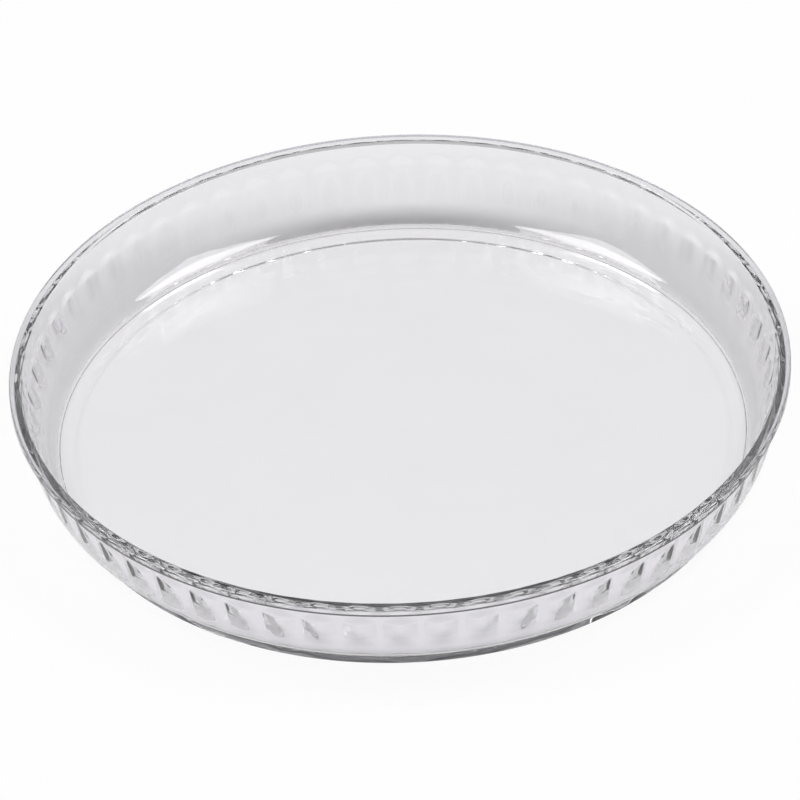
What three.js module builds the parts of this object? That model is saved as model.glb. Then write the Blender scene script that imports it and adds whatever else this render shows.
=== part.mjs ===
// A round tart dish of clear pressed glass, made in one piece.
// The outside is smooth: a foot ring, a rounded corner and a flaring wall under a flat-topped lip.
// The inside wall carries a ring of upright concave flutes, with narrow ribs left between them.
// Millimetres, +Z up, origin at the middle of the face that the dish stands on.

import * as THREE from "three";

// Driving dimensions.
const RIM_DIAMETER = 280; // over the lip
const DISH_HEIGHT = 36; // table to the crest of the lip
const LIP_WIDTH = 4.6; // across the flat top of the lip, with its rounded edges
const LIP_HEIGHT = 2.9; // top to underside of the lip, outside
const LIP_OVERHANG = 1.92; // how far the lip stands out past the wall's outer face
const LIP_TOP_ROUND = 0.8; // radius of the lip's upper outer edge
const LIP_UNDER_ROUND = 1.2; // radius of its lower outer edge
const LIP_INNER_ROUND = 1.2; // radius of its inner edge
const CROOK_RADIUS = 0.5; // hollow bend from the wall to the underside of the lip
const WALL_FLARE = THREE.MathUtils.degToRad(11.8); // lean of the wall's outer face from upright
const INNER_FLARE = THREE.MathUtils.degToRad(15.1); // lean of its inner face, so the wall thickens downwards
const FLOOR_HEIGHT = 5.2; // table to the floor of the dish
const INNER_FILLET = 9.5; // radius from the wall to the floor, inside
const CORNER_RADIUS = 18.5; // the same bend outside, from the wall towards the foot
const CORNER_END = THREE.MathUtils.degToRad(60); // how far that bend has turned where it meets the foot
const FOOT_HEIGHT = 3.7;
const FOOT_STEP = 0.28; // how far the foot ring is set back under the bend
const HEEL_CHAMFER = 0.35; // broken edge round the bottom of the foot
const BEARING_WIDTH = 5.3; // flat ring that the dish stands on
const BASE_RECESS = 0.42; // hollow of the underside inside that ring
const RECESS_EDGE = 3; // width of the slope from that ring up into the hollow

const FLUTE_COUNT = 60;
const FLUTE_DEPTH = 1.1;
const RIB_WIDTH = 1.4; // flat crest between two flutes
const FLUTE_MARGIN = 4.5; // plain wall left between the inner wall's top and a flute
const FLUTE_ARCH = 4; // length of a flute's rounded top
const FLUTE_TOE = 10; // length over which a flute runs out at the bottom
const FLUTE_RUN_ON = 2; // how far a flute reaches past the wall onto the fillet

// Fineness of the facets.
const PLAIN_COLUMNS_PER_FLUTE = 2;
const CORNER_STEPS = 4;
const CROOK_STEPS = 2;
const LIP_STEPS = 2; // round each edge of the lip
const ARCH_STEPS = 4;
const TOE_STEPS = 4;
const FILLET_STEPS = 4;
const FLUTE_LINES = [-1, -0.5, 0, 0.5, 1]; // lines along a flute, as shares of its half width

// The section: the wall's outer and inner lines, and the centres of the lip's edges and of the bends.
const RIM_RADIUS = RIM_DIAMETER / 2;
const LIP_UNDERSIDE = DISH_HEIGHT - LIP_HEIGHT;

const outerWallAt = (z) => RIM_RADIUS - LIP_OVERHANG - Math.tan(WALL_FLARE) * (LIP_UNDERSIDE - z);
const onCircle = (centre, radius, angle) => ({
  r: centre.r + radius * Math.cos(angle),
  z: centre.z + radius * Math.sin(angle),
});

const LIP_INNER_CENTRE = { r: RIM_RADIUS - LIP_WIDTH + LIP_INNER_ROUND, z: DISH_HEIGHT - LIP_INNER_ROUND };
const LIP_TOP_CENTRE = { r: RIM_RADIUS - LIP_TOP_ROUND, z: DISH_HEIGHT - LIP_TOP_ROUND };
const LIP_UNDER_CENTRE = { r: RIM_RADIUS - LIP_UNDER_ROUND, z: LIP_UNDERSIDE + LIP_UNDER_ROUND };

// The inner wall runs straight down from where it leaves the lip.
const wallTop = onCircle(LIP_INNER_CENTRE, LIP_INNER_ROUND, Math.PI - INNER_FLARE);
const innerWallAt = (z) => wallTop.r - Math.tan(INNER_FLARE) * (wallTop.z - z);

// A bend of a given radius whose centre lies at height z, just touching a wall line.
const bendCentre = (wallAt, flare, radius, z) => ({
  r: wallAt(z - radius * Math.sin(flare)) - radius * Math.cos(flare),
  z,
});
const FILLET_CENTRE = bendCentre(innerWallAt, INNER_FLARE, INNER_FILLET, FLOOR_HEIGHT + INNER_FILLET);
const CORNER_CENTRE = bendCentre(
  outerWallAt,
  WALL_FLARE,
  CORNER_RADIUS,
  FOOT_HEIGHT + CORNER_RADIUS * Math.sin(CORNER_END),
);
const FOOT_RADIUS = onCircle(CORNER_CENTRE, CORNER_RADIUS, -CORNER_END).r - FOOT_STEP;
const BEARING_EDGE = FOOT_RADIUS - HEEL_CHAMFER - BEARING_WIDTH;

// The hollow crook touches the wall's outer line and the underside of the lip.
const crookZ = LIP_UNDERSIDE - CROOK_RADIUS;
const CROOK_CENTRE = {
  r: outerWallAt(crookZ + CROOK_RADIUS * Math.sin(WALL_FLARE)) + CROOK_RADIUS * Math.cos(WALL_FLARE),
  z: crookZ,
};

// Places along an arc in even steps; the first place can be left out where another row lies there.
function alongArc(centre, radius, startAngle, endAngle, steps, first = 0) {
  const places = [];
  for (let i = first; i <= steps; i++) {
    places.push(onCircle(centre, radius, THREE.MathUtils.lerp(startAngle, endAngle, i / steps)));
  }
  return places;
}

// Rows with plain columns, from the underside up over the foot, the bend, the wall and the lip,
// then down to the top of the inner wall.
function outerRows() {
  return [
    { r: BEARING_EDGE - RECESS_EDGE, z: BASE_RECESS },
    { r: BEARING_EDGE, z: 0 },
    { r: FOOT_RADIUS - HEEL_CHAMFER, z: 0 },
    { r: FOOT_RADIUS, z: HEEL_CHAMFER },
    { r: FOOT_RADIUS, z: FOOT_HEIGHT },
    ...alongArc(CORNER_CENTRE, CORNER_RADIUS, -CORNER_END, -WALL_FLARE, CORNER_STEPS),
    ...alongArc(CROOK_CENTRE, CROOK_RADIUS, Math.PI - WALL_FLARE, Math.PI / 2, CROOK_STEPS),
    ...alongArc(LIP_UNDER_CENTRE, LIP_UNDER_ROUND, -Math.PI / 2, 0, LIP_STEPS),
    ...alongArc(LIP_TOP_CENTRE, LIP_TOP_ROUND, 0, Math.PI / 2, LIP_STEPS),
    ...alongArc(LIP_INNER_CENTRE, LIP_INNER_ROUND, Math.PI / 2, Math.PI - INNER_FLARE, LIP_STEPS),
  ];
}

// A place on the inner wall and fillet, a given length below the top of the inner wall.
// The lean is the direction into the glass there, which a flute is pressed along.
const filletTopZ = FILLET_CENTRE.z - INNER_FILLET * Math.sin(INNER_FLARE);
const wallLength = (wallTop.z - filletTopZ) / Math.cos(INNER_FLARE);

function insideAt(length) {
  if (length <= wallLength) {
    const z = wallTop.z - length * Math.cos(INNER_FLARE);
    return { r: innerWallAt(z), z, lean: -INNER_FLARE };
  }
  const lean = -INNER_FLARE - (length - wallLength) / INNER_FILLET;
  return { ...onCircle(FILLET_CENTRE, INNER_FILLET, lean), lean };
}

// Along its length a flute has a rounded top, whose arch widens to the full width,
// and a toe where its depth runs out softly.
const fluteEnd = wallLength + FLUTE_RUN_ON;
const toeStart = fluteEnd - FLUTE_TOE;

function fluteArch(length) {
  const climb = THREE.MathUtils.clamp((length - FLUTE_MARGIN) / FLUTE_ARCH, 0, 1);
  return Math.sqrt(1 - (1 - climb) ** 2);
}

function fluteDepth(length) {
  return FLUTE_DEPTH * (1 - THREE.MathUtils.smoothstep(length, toeStart, fluteEnd));
}

// Rows across the flutes, from their tops down to the ends of their toes.
function fluteRows() {
  const lengths = [];
  for (let i = 0; i <= ARCH_STEPS; i++) {
    lengths.push(FLUTE_MARGIN + FLUTE_ARCH * (i / ARCH_STEPS) ** 2);
  }
  for (let i = 0; i <= TOE_STEPS; i++) {
    lengths.push(toeStart + (FLUTE_TOE * i) / TOE_STEPS);
  }
  return lengths.map((length) => ({
    ...insideAt(length),
    arch: fluteArch(length),
    depth: fluteDepth(length),
  }));
}

// Rows of the plain fillet below the flutes, down to the edge of the floor.
function filletRows() {
  return alongArc(FILLET_CENTRE, INNER_FILLET, insideAt(fluteEnd).lean, -Math.PI / 2, FILLET_STEPS, 1);
}

// The columns: plain spacing, and across the flutes the two edges of each rib and three lines in each flute.
const pitch = (2 * Math.PI) / FLUTE_COUNT;
const ribHalfAngle = RIB_WIDTH / 2 / wallTop.r;
const fluteHalfAngle = pitch / 2 - ribHalfAngle;

function plainColumns() {
  const count = FLUTE_COUNT * PLAIN_COLUMNS_PER_FLUTE;
  return Array.from({ length: count }, (_, i) => ({ angle: (i * 2 * Math.PI) / count }));
}

function flutedColumns() {
  const flutes = Array.from({ length: FLUTE_COUNT }, (_, i) =>
    FLUTE_LINES.map((x) => ({ angle: i * pitch + x * fluteHalfAngle, sag: x * x })),
  );
  return flutes.flat();
}

// One closed skin: rings of points joined by bands of triangles, with a point at each end of the axis.
const points = [];
const triangles = [];

function addPoint(r, angle, z) {
  points.push(r * Math.cos(angle), r * Math.sin(angle), z);
  return points.length / 3 - 1;
}

function addRing({ r, z, lean = 0, arch = 0, depth = 0 }, columns) {
  const indices = columns.map(({ angle, sag = 0 }) => {
    const press = depth * Math.max(0, arch - sag);
    return addPoint(r + press * Math.cos(lean), angle, z + press * Math.sin(lean));
  });
  return { indices, angles: columns.map((column) => column.angle) };
}

// Joins two rings whose columns may differ in number, always stepping on the side that lags behind.
function joinRings(lower, upper) {
  const pointAt = ({ indices }, i) => indices[i % indices.length];
  const angleAt = ({ angles }, i) => angles[i % angles.length] + 2 * Math.PI * Math.floor(i / angles.length);
  const lowerCount = lower.indices.length;
  const upperCount = upper.indices.length;
  let i = 0;
  let j = 0;
  while (i < lowerCount || j < upperCount) {
    const lowerLags = angleAt(lower, i + 1) <= angleAt(upper, j + 1);
    if (j === upperCount || (i < lowerCount && lowerLags)) {
      triangles.push(pointAt(lower, i), pointAt(lower, i + 1), pointAt(upper, j));
      i += 1;
    } else {
      triangles.push(pointAt(lower, i), pointAt(upper, j + 1), pointAt(upper, j));
      j += 1;
    }
  }
}

function capRing(ring, z, facesUp) {
  const middle = addPoint(0, 0, z);
  ring.indices.forEach((index, i) => {
    const next = ring.indices[(i + 1) % ring.indices.length];
    triangles.push(middle, facesUp ? index : next, facesUp ? next : index);
  });
}

const plain = plainColumns();
const fluted = flutedColumns();
const rings = [
  ...outerRows().map((row) => addRing(row, plain)),
  ...fluteRows().map((row) => addRing(row, fluted)),
  ...filletRows().map((row) => addRing(row, plain)),
];
capRing(rings[0], BASE_RECESS, false);
for (let i = 1; i < rings.length; i++) joinRings(rings[i - 1], rings[i]);
capRing(rings[rings.length - 1], FLOOR_HEIGHT, true);

const geometry = new THREE.BufferGeometry();
geometry.setAttribute("position", new THREE.Float32BufferAttribute(points, 3));
geometry.setIndex(triangles);
geometry.computeVertexNormals();

const clearGlass = new THREE.MeshStandardMaterial({
  name: "clear_glass",
  color: 0xe6e7e9,
  roughness: 0.04,
  metalness: 0,
  transparent: true,
  opacity: 0.35,
});

const tartDish = new THREE.Mesh(geometry, clearGlass);
tartDish.name = "tart_dish";

const assembly = new THREE.Group();
assembly.add(tartDish);

export default assembly;
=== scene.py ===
# %% [markdown]
# A fluted tart dish of clear pressed glass.
# The real dish is one piece: a gather of molten glass is dropped into an iron mould, and a plunger
# presses it.
# The mould gives the smooth outside and the foot ring, and the plunger gives the fluted inside.
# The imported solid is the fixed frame.
# It is coarse, so a finer mesh of nearly the same sizes stands in for it.

# %% Load the frame
import math

import bpy
from mathutils import Matrix, Vector


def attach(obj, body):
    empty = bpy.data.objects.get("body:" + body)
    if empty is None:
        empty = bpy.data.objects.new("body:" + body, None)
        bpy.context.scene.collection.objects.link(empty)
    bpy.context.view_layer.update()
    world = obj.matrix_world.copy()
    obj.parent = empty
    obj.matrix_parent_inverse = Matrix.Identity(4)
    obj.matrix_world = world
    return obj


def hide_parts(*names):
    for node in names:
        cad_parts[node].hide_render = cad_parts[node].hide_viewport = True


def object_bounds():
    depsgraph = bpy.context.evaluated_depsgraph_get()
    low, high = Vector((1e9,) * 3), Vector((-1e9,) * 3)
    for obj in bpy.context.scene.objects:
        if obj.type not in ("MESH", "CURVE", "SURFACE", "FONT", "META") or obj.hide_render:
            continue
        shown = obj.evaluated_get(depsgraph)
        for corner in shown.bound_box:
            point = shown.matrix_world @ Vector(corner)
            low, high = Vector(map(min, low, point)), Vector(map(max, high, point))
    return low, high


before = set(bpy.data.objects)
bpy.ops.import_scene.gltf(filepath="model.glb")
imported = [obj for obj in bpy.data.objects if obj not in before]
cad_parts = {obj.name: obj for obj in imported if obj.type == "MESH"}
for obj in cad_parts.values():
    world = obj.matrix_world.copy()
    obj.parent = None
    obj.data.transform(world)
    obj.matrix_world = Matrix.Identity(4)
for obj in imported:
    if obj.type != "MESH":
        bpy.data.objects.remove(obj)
cad_low, cad_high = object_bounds()
MM = 0.001
DEGREE = math.pi / 180
MERGE = 0.001 * MM  # points nearer than this are one
print("CAD box in mm:", [round(side / MM, 2) for side in cad_high - cad_low])

# %% [markdown]
# The camera stands where the photographer's stood: in front, about 38 degrees up, with a long lens.
# The outline of the lip gives the angle and the distance, and a slight roll of the picture comes with it.
# The photo is cut from a wider frame, which a shift of the lens gives.
# The dish is round, so the small turn round it only sets where the flutes fall.

# %% Place the camera
PICTURE = 800
ORIGIN_PIXEL = (403.13, 438.8)  # where the middle of the foot falls in the picture
PIXELS_PER_MM = 2.764  # at the middle of the dish
CAMERA_AZIMUTH = 1.75 * DEGREE
CAMERA_ELEVATION = 38.15 * DEGREE
CAMERA_ROLL = -2.78 * DEGREE
CAMERA_DISTANCE = 2146.7 * MM
SENSOR = 36.0


def place_camera():
    level = Vector((math.cos(CAMERA_AZIMUTH), math.sin(CAMERA_AZIMUTH), 0))
    away = Vector((math.sin(CAMERA_AZIMUTH), -math.cos(CAMERA_AZIMUTH), 0))
    back = away * math.cos(CAMERA_ELEVATION) + Vector((0, 0, math.sin(CAMERA_ELEVATION)))
    upright = back.cross(level)
    right = level * math.cos(CAMERA_ROLL) + upright * math.sin(CAMERA_ROLL)
    up = upright * math.cos(CAMERA_ROLL) - level * math.sin(CAMERA_ROLL)
    bpy.ops.object.camera_add()
    camera = bpy.context.object
    camera.matrix_world = Matrix((right, up, back)).transposed().to_4x4()
    camera.location = back * CAMERA_DISTANCE
    camera.data.shift_x = 0.5 - ORIGIN_PIXEL[0] / PICTURE
    camera.data.shift_y = ORIGIN_PIXEL[1] / PICTURE - 0.5
    camera.data.sensor_width = SENSOR
    camera.data.lens = SENSOR * PIXELS_PER_MM / MM * CAMERA_DISTANCE / PICTURE
    camera.data.clip_end = 100
    return camera


bpy.context.scene.camera = place_camera()
print("lens in mm:", round(bpy.context.scene.camera.data.lens, 1))

# %% [markdown]
# Each colour is written as a hex value, the way a colour picker shows it, and one function makes it linear.
# One small function adds a node, sets its values and links what feeds it.


# %% Colours and nodes
def linear(hex_colour):
    shares = [int(hex_colour[i : i + 2], 16) / 255 for i in (1, 3, 5)]
    return tuple(s / 12.92 if s <= 0.04045 else ((s + 0.055) / 1.055) ** 2.4 for s in shares) + (1.0,)


def add_node(tree, kind, settings=None, **inputs):
    """Adds a node. An input is a value, or an output of another node to link."""
    node = tree.nodes.new(kind)
    for name, value in (settings or {}).items():
        setattr(node, name, value)
    for name, value in inputs.items():
        socket = node.inputs[int(name[1:])] if name[1:].isdigit() else node.inputs[name.replace("_", " ")]
        if isinstance(value, bpy.types.NodeSocket):
            tree.links.new(value, socket)
        else:
            socket.default_value = value
    return node


# %% [markdown]
# Clear glass has hardly a colour of its own: it shows the room, bent and mirrored.
# So the stage matters more than on other objects: a white table with a glow of its own,
# a dim room that draws the dark edges, and soft boxes on both sides for the highlights.
# Seen through the glass, the table's glow is taken away in a ring round the foot, so the table is darker
# there: a painted shade. In the ring the table's lit part still shows the lamps' real shadow, but the
# ring's place and depth are painted.
# How far it fades was set against the photo.

# %% Lay the white table
TABLE_RADIUS = 6.0
TABLE_SIDES = 96
TABLE_DROP = 0.2 * MM  # keeps the table from touching the foot's flat ring
TABLE_GLOW = 0.93  # share of the table's white that is its own, the rest is lit and takes the shadow
PAINTED_SHADE_REACH = 0.2  # radius in m of the painted shade on the table; beyond it the table keeps its full glow
PAINTED_SHADE_BEHIND = ((0.62, 1.0), (0.66, 0.0), (0.74, 0.1), (0.86, 0.5))  # painted shade behind the dish: spots as shares of that radius, with the share of the glow left there
# painted shade in front of the dish, darkest just outside the foot
PAINTED_SHADE_IN_FRONT = ((0.58, 1.0), (0.605, 0.9), (0.63, 0.95), (0.64, 0.15), (0.67, 0.15), (0.75, 1.0))
PAINTED_SHADE_TURN = (0.03, -0.06)  # Y in m where the painted shade behind passes into the one in front


def white_table():
    bpy.ops.mesh.primitive_circle_add(vertices=TABLE_SIDES, radius=TABLE_RADIUS, fill_type="NGON",
                                      location=(0, 0, -TABLE_DROP))
    table = bpy.context.object
    table.name = "white_table"
    paint = bpy.data.materials.new("white_table")
    paint.use_nodes = True
    tree = paint.node_tree
    tree.nodes.clear()
    path = add_node(tree, "ShaderNodeLightPath")
    bent = add_node(tree, "ShaderNodeMath", {"operation": "MAXIMUM"}, _0=path.outputs["Is Glossy Ray"],
                    _1=path.outputs["Is Transmission Ray"])
    place = add_node(tree, "ShaderNodeTexCoord")
    radius = add_node(tree, "ShaderNodeVectorMath", {"operation": "LENGTH"}, _0=place.outputs["Object"])
    radius = add_node(tree, "ShaderNodeMath", {"operation": "DIVIDE"}, _0=radius.outputs["Value"],
                      _1=PAINTED_SHADE_REACH)
    # Painted shade: the glow is taken away in a ring round the foot, along the radius, behind and in front.
    painted_shade_ramps = []
    for shade in (PAINTED_SHADE_BEHIND, PAINTED_SHADE_IN_FRONT):
        ramp = add_node(tree, "ShaderNodeValToRGB", Fac=radius.outputs[0])
        ramp.color_ramp.elements[0].color = (1, 1, 1, 1)
        for spot, level in shade:
            ramp.color_ramp.elements.new(spot).color = (level, level, level, 1)
        painted_shade_ramps.append(ramp.outputs["Color"])
    parts = add_node(tree, "ShaderNodeSeparateXYZ", Vector=place.outputs["Object"])
    painted_shade_front_mask = add_node(tree, "ShaderNodeMapRange", {"interpolation_type": "SMOOTHSTEP"},
                     Value=parts.outputs["Y"], _1=PAINTED_SHADE_TURN[0], _2=PAINTED_SHADE_TURN[1])
    painted_shade_glow = add_node(tree, "ShaderNodeMix", {"data_type": "RGBA"}, _0=painted_shade_front_mask.outputs[0], _6=painted_shade_ramps[0],
                    _7=painted_shade_ramps[1])
    # Only rays through or off the glass see the painted shade; camera rays get the full glow share.
    bent = add_node(tree, "ShaderNodeMath", {"operation": "MULTIPLY"}, _0=bent.outputs[0],
                    _1=painted_shade_glow.outputs[2])
    bent = add_node(tree, "ShaderNodeMath", {"operation": "MULTIPLY"}, _0=bent.outputs[0], _1=TABLE_GLOW)
    share = add_node(tree, "ShaderNodeMath", {"operation": "MULTIPLY_ADD"},
                     _0=path.outputs["Is Camera Ray"], _1=TABLE_GLOW, _2=bent.outputs[0])
    matt = add_node(tree, "ShaderNodeBsdfDiffuse", Color=linear("#F4F4F4"))
    glow = add_node(tree, "ShaderNodeEmission", Color=linear("#FFFFFF"), Strength=1.0)
    mixed = add_node(tree, "ShaderNodeMixShader", _0=share.outputs[0], _1=matt.outputs[0],
                     _2=glow.outputs[0])
    add_node(tree, "ShaderNodeOutputMaterial", Surface=mixed.outputs[0])
    table.data.materials.append(paint)


white_table()
print("table radius in m:", TABLE_RADIUS)

# %% Dim the room
BOUNCES = 40
FRONT_LEVELS = ((0.0, "#696969"), (0.34, "#737373"), (0.64, "#898989"), (1.0, "#A8A8A8"))
BACK_LEVELS = ((0.0, "#606060"), (0.54, "#646464"), (0.62, "#A0A0A0"), (0.68, "#D4D4D4"), (1.0, "#BCBCBC"))
ROOM_TURN = (-0.2, 0.3)  # Y of the direction where the front of the room passes into the back


def dim_room():
    room = bpy.data.worlds.new("room")
    bpy.context.scene.world = room
    room.use_nodes = True
    tree = room.node_tree
    tree.nodes.clear()
    direction = add_node(tree, "ShaderNodeTexCoord")
    parts = add_node(tree, "ShaderNodeSeparateXYZ", Vector=direction.outputs["Generated"])
    sides = []
    for levels in (FRONT_LEVELS, BACK_LEVELS):
        side = add_node(tree, "ShaderNodeValToRGB", Fac=parts.outputs["Z"])
        ramp = side.color_ramp
        ramp.elements[0].color = linear(levels[0][1])
        ramp.elements[1].color = linear(levels[-1][1])
        for place, colour in levels[1:-1]:
            ramp.elements.new(place).color = linear(colour)
        sides.append(side.outputs["Color"])
    behind = add_node(tree, "ShaderNodeMapRange", {"interpolation_type": "SMOOTHSTEP"},
                      Value=parts.outputs["Y"], _1=ROOM_TURN[0], _2=ROOM_TURN[1])
    both = add_node(tree, "ShaderNodeMix", {"data_type": "RGBA"}, _0=behind.outputs[0], _6=sides[0],
                    _7=sides[1])
    light = add_node(tree, "ShaderNodeBackground", Color=both.outputs[2])
    add_node(tree, "ShaderNodeOutputWorld", Surface=light.outputs[0])


def let_light_travel():
    """Light runs inside the floor and the foot by many mirror bounces, so the bounce limits are raised."""
    cycles = bpy.context.scene.cycles
    cycles.max_bounces = BOUNCES
    cycles.glossy_bounces = BOUNCES
    cycles.transmission_bounces = BOUNCES


dim_room()
bpy.context.scene.view_settings.view_transform = "Standard"
let_light_travel()
print("room levels behind the dish, from the horizon up:", BACK_LEVELS)

# %% Hang the soft boxes
BOX_DIRECTIONS = ((0.54, 0.02, 0.82), (-0.54, 0.02, 0.82))
BOX_DISTANCE = 1.5
BOX_SIZE = 0.66
BOX_POWER = 9.0


def soft_box(direction):
    away = Vector(direction).normalized()
    bpy.ops.object.light_add(type="AREA", location=away * BOX_DISTANCE)
    lamp = bpy.context.object
    turn = away.to_track_quat("Z", "Y").to_matrix().to_4x4()
    lamp.matrix_world = Matrix.Translation(away * BOX_DISTANCE) @ turn
    lamp.data.size = BOX_SIZE
    lamp.data.energy = BOX_POWER
    return lamp


boxes = [soft_box(direction) for direction in BOX_DIRECTIONS]
print("soft boxes:", len(boxes), "of", BOX_POWER, "W")

# %% [markdown]
# The section of the dish is drawn the way a turner would draw it: half of it, from the middle of the
# underside out to the foot, up the outside, over the lip, down the inside and back to the floor's middle.
# A single point is pulled along it: straight stretches by extrude, and bends by spin round their centres.
# The sizes are those of the solid, in millimetres. Only the lip's lower edge and the bend under it are
# sharper, because the dark line along the front of the lip needs a sharp edge.

# %% Sizes of the section
RIM_RADIUS = (cad_high.x - cad_low.x) / 2 / MM
HEIGHT = cad_high.z / MM
LIP_WIDTH = 4.6
LIP_HEIGHT = 2.9
LIP_OVERHANG = 1.92
LIP_TOP_ROUND = 0.8
LIP_UNDER_ROUND = 0.2
LIP_INNER_ROUND = 1.2
CROOK = 0.3  # radius of the hollow bend under the lip
FLARE = 11.8 * DEGREE
INNER_FLARE = 15.1 * DEGREE
FLOOR = 5.2
FILLET = 9.5
BEND = 18.5
BEND_END = 60 * DEGREE
FOOT_HEIGHT = 3.7
FOOT_STEP = 0.28
HEEL = 0.35
BEARING_WIDTH = 5.3
BASE_RECESS = 0.42
RECESS_EDGE = 3.0
EDGE_STEPS = 6
HEEL_STEPS = 3
BEND_STEPS = 12
OUTER_WALL_STEPS = 2
UNDER_LIP_STEPS = 4
LIP_STEPS = 6
INNER_WALL_STEPS = 36
FILLET_STEPS = 12

LIP_UNDERSIDE = HEIGHT - LIP_HEIGHT
LIP_TOP_CENTRE = (RIM_RADIUS - LIP_TOP_ROUND, HEIGHT - LIP_TOP_ROUND)
LIP_UNDER_CENTRE = (RIM_RADIUS - LIP_UNDER_ROUND, LIP_UNDERSIDE + LIP_UNDER_ROUND)
LIP_INNER_CENTRE = (RIM_RADIUS - LIP_WIDTH + LIP_INNER_ROUND, HEIGHT - LIP_INNER_ROUND)


def on_circle(centre, radius, angle):
    return centre[0] + radius * math.cos(angle), centre[1] + radius * math.sin(angle)


WALL_TOP = on_circle(LIP_INNER_CENTRE, LIP_INNER_ROUND, math.pi - INNER_FLARE)


def outer_wall(z):
    return RIM_RADIUS - LIP_OVERHANG - math.tan(FLARE) * (LIP_UNDERSIDE - z)


def inner_wall(z):
    return WALL_TOP[0] - math.tan(INNER_FLARE) * (WALL_TOP[1] - z)


def bend_centre(wall, flare, radius, z):
    return wall(z - radius * math.sin(flare)) - radius * math.cos(flare), z


def smooth_step(x):
    x = min(max(x, 0.0), 1.0)
    return x * x * (3 - 2 * x)


FILLET_CENTRE = bend_centre(inner_wall, INNER_FLARE, FILLET, FLOOR + FILLET)
BEND_CENTRE = bend_centre(outer_wall, FLARE, BEND, FOOT_HEIGHT + BEND * math.sin(BEND_END))
FOOT_RADIUS = on_circle(BEND_CENTRE, BEND, -BEND_END)[0] - FOOT_STEP
CROOK_Z = LIP_UNDERSIDE - CROOK
CROOK_CENTRE = (outer_wall(CROOK_Z + CROOK * math.sin(FLARE)) + CROOK * math.cos(FLARE), CROOK_Z)
print("foot radius:", round(FOOT_RADIUS, 2), "floor edge radius:", round(FILLET_CENTRE[0], 2))


# %% Draw the section
def start_section(point):
    bpy.ops.object.select_all(action="DESELECT")
    bpy.ops.mesh.primitive_plane_add(size=MM, location=(point[0] * MM, 0, point[1] * MM))
    bpy.ops.object.transform_apply()
    bpy.ops.object.mode_set(mode="EDIT")
    bpy.ops.mesh.select_all(action="SELECT")
    bpy.ops.mesh.merge(type="CENTER")
    return point


def line_to(pen, point, steps=1):
    move = ((point[0] - pen[0]) * MM / steps, 0, (point[1] - pen[1]) * MM / steps)
    for _ in range(steps):
        bpy.ops.mesh.extrude_region_move(TRANSFORM_OT_translate={"value": move})
    return point


def arc_about(pen, centre, turn, steps):
    """Carries the end of the section round a centre. A positive turn is anticlockwise from the front."""
    bpy.ops.mesh.spin(steps=steps, angle=turn, center=(centre[0] * MM, 0, centre[1] * MM), axis=(0, 1, 0))
    reach = math.hypot(pen[0] - centre[0], pen[1] - centre[1])
    start = math.atan2(pen[1] - centre[1], pen[0] - centre[0])
    return on_circle(centre, reach, start + turn)


def draw_section():
    pen = start_section((0, BASE_RECESS))
    bearing_edge = FOOT_RADIUS - HEEL - BEARING_WIDTH
    for i in range(EDGE_STEPS + 1):
        share = i / EDGE_STEPS
        rise = BASE_RECESS * (1 - smooth_step(share))
        pen = line_to(pen, (bearing_edge - RECESS_EDGE * (1 - share), rise))
    pen = line_to(pen, (FOOT_RADIUS - HEEL, 0))
    pen = arc_about(pen, (FOOT_RADIUS - HEEL, HEEL), 90 * DEGREE, HEEL_STEPS)
    pen = line_to(pen, (FOOT_RADIUS, FOOT_HEIGHT))
    pen = line_to(pen, on_circle(BEND_CENTRE, BEND, -BEND_END))
    pen = arc_about(pen, BEND_CENTRE, BEND_END - FLARE, BEND_STEPS)
    pen = line_to(pen, on_circle(CROOK_CENTRE, CROOK, math.pi - FLARE), OUTER_WALL_STEPS)
    pen = arc_about(pen, CROOK_CENTRE, FLARE - 90 * DEGREE, UNDER_LIP_STEPS)
    pen = line_to(pen, (LIP_UNDER_CENTRE[0], LIP_UNDERSIDE))
    pen = arc_about(pen, LIP_UNDER_CENTRE, 90 * DEGREE, UNDER_LIP_STEPS)
    pen = line_to(pen, (RIM_RADIUS, LIP_TOP_CENTRE[1]))
    pen = arc_about(pen, LIP_TOP_CENTRE, 90 * DEGREE, LIP_STEPS)
    pen = line_to(pen, (LIP_INNER_CENTRE[0], HEIGHT))
    pen = arc_about(pen, LIP_INNER_CENTRE, 90 * DEGREE - INNER_FLARE, LIP_STEPS)
    pen = line_to(pen, on_circle(FILLET_CENTRE, FILLET, -INNER_FLARE), INNER_WALL_STEPS)
    pen = arc_about(pen, FILLET_CENTRE, INNER_FLARE - 90 * DEGREE, FILLET_STEPS)
    line_to(pen, (0, FLOOR))
    bpy.ops.object.mode_set(mode="OBJECT")
    section = bpy.context.object
    section.name = "fluted_dish"
    return section


dish = draw_section()
print("points in the section:", len(dish.data.vertices))

# %% [markdown]
# All sixty flutes are alike, so only one of them is worked: a slice of the dish from one rib to the next.
# The section is turned by half a pitch, and spin carries it over one pitch, in finer steps at the ribs.

# %% Turn the section into one slice
FLUTES = 60
PITCH = 2 * math.pi / FLUTES
COLUMN_SPANS = ((1, 0.05), (2, 0.05), (10, 0.8), (2, 0.05), (1, 0.05))  # steps and share of the pitch


def turn_section():
    bpy.ops.object.mode_set(mode="EDIT")
    bpy.ops.mesh.select_all(action="SELECT")
    bpy.ops.transform.rotate(value=PITCH / 2, orient_axis="Z", center_override=(0, 0, 0))
    for steps, share in COLUMN_SPANS:
        bpy.ops.mesh.spin(steps=steps, angle=PITCH * share, center=(0, 0, 0), axis=(0, 0, 1))
    bpy.ops.mesh.select_all(action="SELECT")
    bpy.ops.mesh.remove_doubles(threshold=MERGE)
    bpy.ops.mesh.normals_make_consistent(inside=False)
    bpy.ops.object.mode_set(mode="OBJECT")


turn_section()
print("faces in the slice:", len(dish.data.polygons))

# %% [markdown]
# The flutes are pressed into the inner wall by a Displace modifier that follows a weight for each point.
# Across a flute the hollow lies between a round one and a V, and the crest of the rib beside it is narrow.
# Along it the weight rises as an arch under the lip, deepens and runs out slowly on the bend to the floor.

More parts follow.
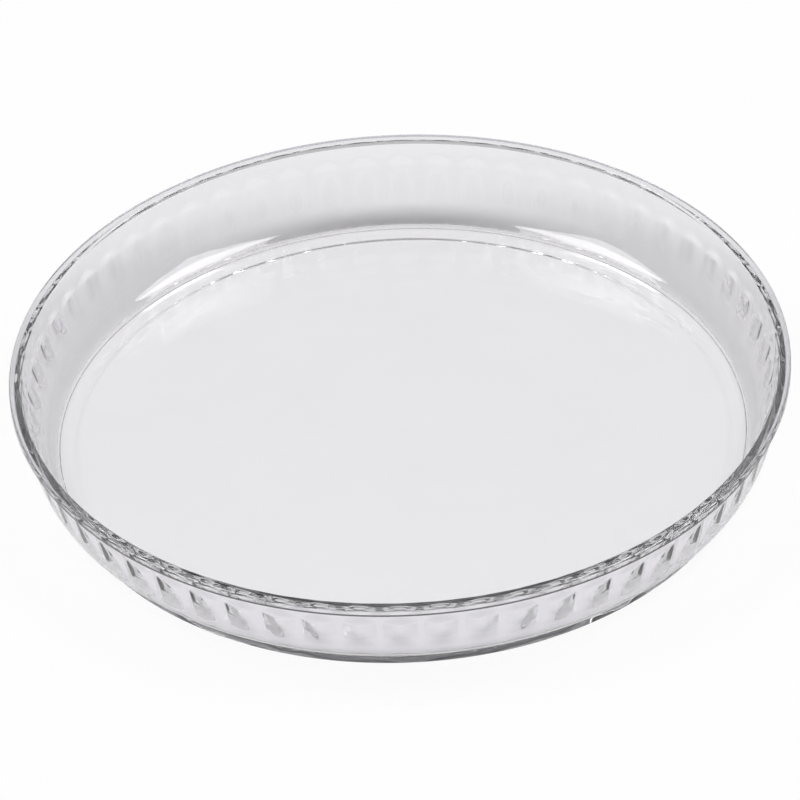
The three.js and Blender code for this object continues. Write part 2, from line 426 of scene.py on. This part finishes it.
# %% Press the flutes
FLUTE_DEPTH = 1.3
FLUTE_WIDTH = 0.86  # share of the pitch, the rest is the rib
FLUTE_MARGIN = 4.5  # plain wall above a flute
FLUTE_ARCH = 5.0
FLUTE_TOE = 18.0
FLUTE_END = 27.5  # length from the wall's top to the flute's lower end
FLUTE_TOP_SHARE = 0.5  # share of the depth that a flute has at its top
FLUTE_POWER = 1.6  # 2 is a round hollow, less is more like a V
RIB_ROUNDING = 0.03  # how softly a rib's crest turns into the hollow
ON_FACE = 0.05  # a point this near the inner face lies on it


def soft_part(x):
    """The part of x above zero, with a rounded corner at zero."""
    return (x + math.hypot(x, RIB_ROUNDING)) / 2


FILLET_TOP = on_circle(FILLET_CENTRE, FILLET, -INNER_FLARE)
WALL_LENGTH = math.dist(WALL_TOP, FILLET_TOP)


def length_down_wall(r, z):
    """How far a point of the inner face lies below the wall's top, along the face, or None elsewhere."""
    if FILLET_TOP[1] < z <= WALL_TOP[1] and abs(r - inner_wall(z)) < ON_FACE:
        return (WALL_TOP[1] - z) / math.cos(INNER_FLARE)
    reach = math.hypot(r - FILLET_CENTRE[0], z - FILLET_CENTRE[1])
    if z <= FILLET_TOP[1] + 0.01 and r >= FILLET_CENTRE[0] - 0.01 and abs(reach - FILLET) < ON_FACE:
        turned = -math.atan2(z - FILLET_CENTRE[1], r - FILLET_CENTRE[0]) - INNER_FLARE
        return WALL_LENGTH + FILLET * turned
    return None


def flute_weight(x, y, z):
    length = length_down_wall(math.hypot(x, y), z)
    if length is None:
        return 0.0
    place = math.atan2(y, x) * FLUTES / (2 * math.pi)
    across = (2 * abs(place - round(place)) / FLUTE_WIDTH) ** FLUTE_POWER
    arch = smooth_step((length - FLUTE_MARGIN) / FLUTE_ARCH)
    toe = smooth_step((FLUTE_END - length) / FLUTE_TOE)
    down = min(1.0, max(0.0, (length - FLUTE_MARGIN) / (FLUTE_END - FLUTE_TOE - FLUTE_MARGIN)))
    deepening = FLUTE_TOP_SHARE + (1 - FLUTE_TOP_SHARE) * down
    return max(0.0, soft_part(arch - across) - soft_part(-across)) * deepening * toe


def press_flutes():
    group = dish.vertex_groups.new(name="flutes")
    for vertex in dish.data.vertices:
        weight = flute_weight(*(vertex.co / MM))
        if weight > 0:
            group.add([vertex.index], min(weight, 1.0), "REPLACE")
    bpy.ops.object.modifier_add(type="DISPLACE")
    press = dish.modifiers[-1]
    press.vertex_group = "flutes"
    press.mid_level = 0
    press.strength = -FLUTE_DEPTH * MM
    bpy.ops.object.modifier_apply(modifier=press.name)
    dish.vertex_groups.clear()


press_flutes()
print("pitch at the wall's top in mm:", round(PITCH * WALL_TOP[0], 2))

# %% [markdown]
# An Array modifier repeats the slice all round, each copy turned by one pitch about an empty on the axis.
# Where two copies meet the points fall on each other, so doubles are merged,
# and the normals are then made to point out of the glass.
# Weighted normals let the wide faces set the shading, so that light is guided rightly inside the glass.


# %% Repeat the slice round the dish
SMOOTH_ANGLE = 25 * DEGREE


def repeat_slice():
    bpy.ops.object.empty_add(rotation=(0, 0, PITCH))
    turner = bpy.context.object
    bpy.ops.object.select_all(action="DESELECT")
    dish.select_set(True)
    bpy.context.view_layer.objects.active = dish
    bpy.ops.object.modifier_add(type="ARRAY")
    ring = dish.modifiers[-1]
    ring.count = FLUTES
    ring.use_relative_offset = False
    ring.use_object_offset = True
    ring.offset_object = turner
    bpy.ops.object.modifier_apply(modifier=ring.name)
    bpy.data.objects.remove(turner)
    bpy.ops.object.mode_set(mode="EDIT")
    bpy.ops.mesh.select_all(action="SELECT")
    bpy.ops.mesh.remove_doubles(threshold=MERGE)
    bpy.ops.mesh.normals_make_consistent(inside=False)
    bpy.ops.object.mode_set(mode="OBJECT")
    bpy.ops.object.shade_smooth_by_angle(angle=SMOOTH_ANGLE)
    bpy.ops.object.modifier_add(type="WEIGHTED_NORMAL")
    dish.modifiers[-1].keep_sharp = True
    bpy.ops.object.modifier_apply(modifier=dish.modifiers[-1].name)


repeat_slice()
print("flutes:", FLUTES, "faces:", len(dish.data.polygons))

# %% [markdown]
# The glass is pressed and fire-polished, so its faces are glossy, with a slow ripple where it cooled.
# It bends light as heat-proof glass does, and where it is thick it greys what is seen through it a little.


# %% Mix the glass
STREAK_SIZE = 40 * MM
RIPPLE_SIZE = 12 * MM
RIPPLE_HEIGHT = 0.05 * MM
WEAR_SIZE = 4 * MM
WEAR_RANGE = (0.45, 0.75)
WEAR_ROUGHNESS = 0.012
GLASS_INDEX = 1.47
GLASS_DENSITY = 4.6


def pressed_glass():
    glass = bpy.data.materials.new("clear_pressed_glass")
    glass.use_nodes = True
    tree = glass.node_tree
    tree.nodes.clear()
    place = add_node(tree, "ShaderNodeTexCoord").outputs["Object"]
    streaks = add_node(tree, "ShaderNodeTexNoise", Vector=place, Scale=1 / STREAK_SIZE, Detail=1.0)
    tint = add_node(tree, "ShaderNodeMix", {"data_type": "RGBA"}, _0=streaks.outputs["Fac"],
                    _6=linear("#F5F4F7"), _7=linear("#F2F1F4"))
    ripple = add_node(tree, "ShaderNodeTexNoise", Vector=place, Scale=1 / RIPPLE_SIZE, Detail=0.0)
    waves = add_node(tree, "ShaderNodeBump", Strength=1.0, Distance=RIPPLE_HEIGHT,
                     Height=ripple.outputs["Fac"])
    wear = add_node(tree, "ShaderNodeTexNoise", Vector=place, Scale=1 / WEAR_SIZE, Detail=3.0)
    gloss = add_node(tree, "ShaderNodeMapRange", Value=wear.outputs["Fac"], _1=WEAR_RANGE[0],
                     _2=WEAR_RANGE[1], _3=0.0, _4=WEAR_ROUGHNESS)
    shader = add_node(tree, "ShaderNodeBsdfPrincipled", Base_Color=tint.outputs[2],
                      Roughness=gloss.outputs[0], IOR=GLASS_INDEX, Transmission_Weight=1.0,
                      Normal=waves.outputs[0])
    body = add_node(tree, "ShaderNodeVolumeAbsorption", Color=linear("#909293"), Density=GLASS_DENSITY)
    add_node(tree, "ShaderNodeOutputMaterial", Surface=shader.outputs[0], Volume=body.outputs[0])
    return glass


dish.data.materials.clear()
dish.data.materials.append(pressed_glass())
print("material:", dish.data.materials[0].name)

# %% Hand over the dish
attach(dish, "root")
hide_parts("tart_dish")
